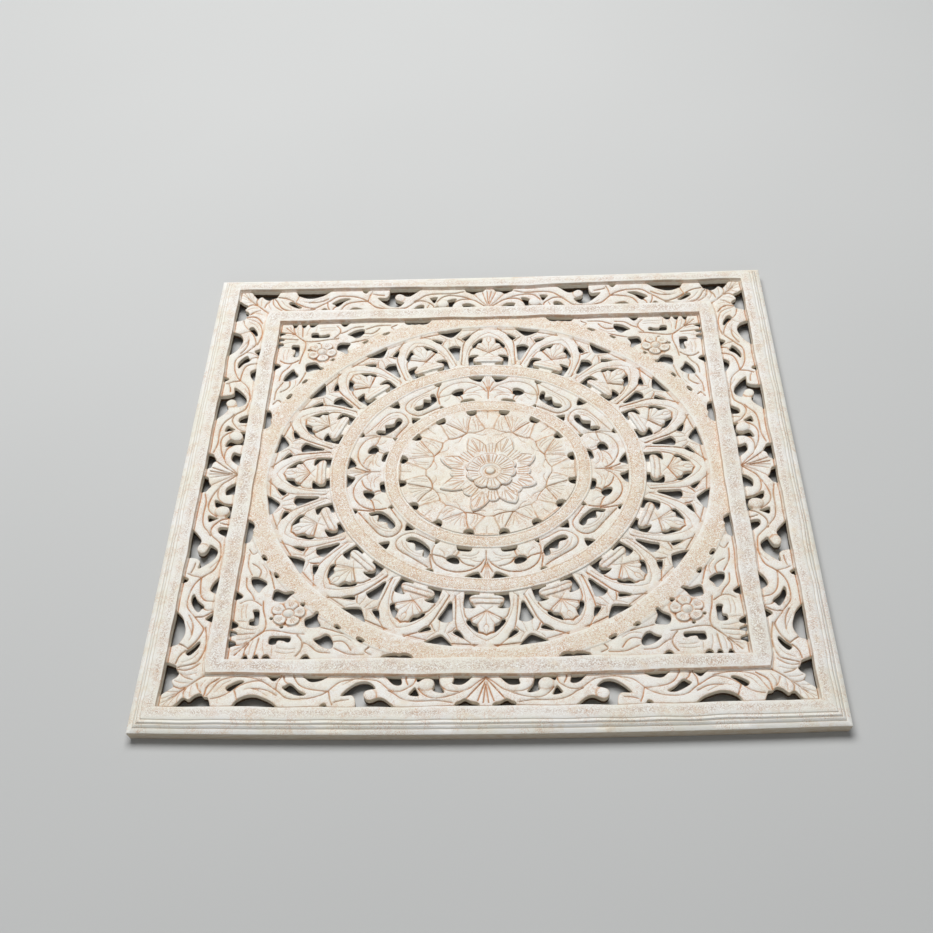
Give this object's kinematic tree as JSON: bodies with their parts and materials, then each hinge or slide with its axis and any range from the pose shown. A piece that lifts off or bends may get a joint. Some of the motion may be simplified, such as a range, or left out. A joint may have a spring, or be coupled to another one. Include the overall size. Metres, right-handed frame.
{
  "type": "carved wall panel",
  "caption": "Square whitewashed wood wall panel, pierced and carved with a round flower medallion, leafy corner fields and a scrolling border inside a moulded frame.",
  "frame": {"origin": "hanging point: the middle of the top rail, on the flat back of the rim", "axes": "+Z out of the carved face, +Y up the wall towards the top edge, +X to the right as seen from the front"},
  "size_m": [0.9, 0.9063, 0.023],
  "materials": {
    "whitewashed_wood": "matt, chalky cream whitewash with orange-brown stain in the carved lines"
  },
  "bodies": {
    "root": {"carved_panel": "whitewashed_wood"}
  },
  "joints": []
}
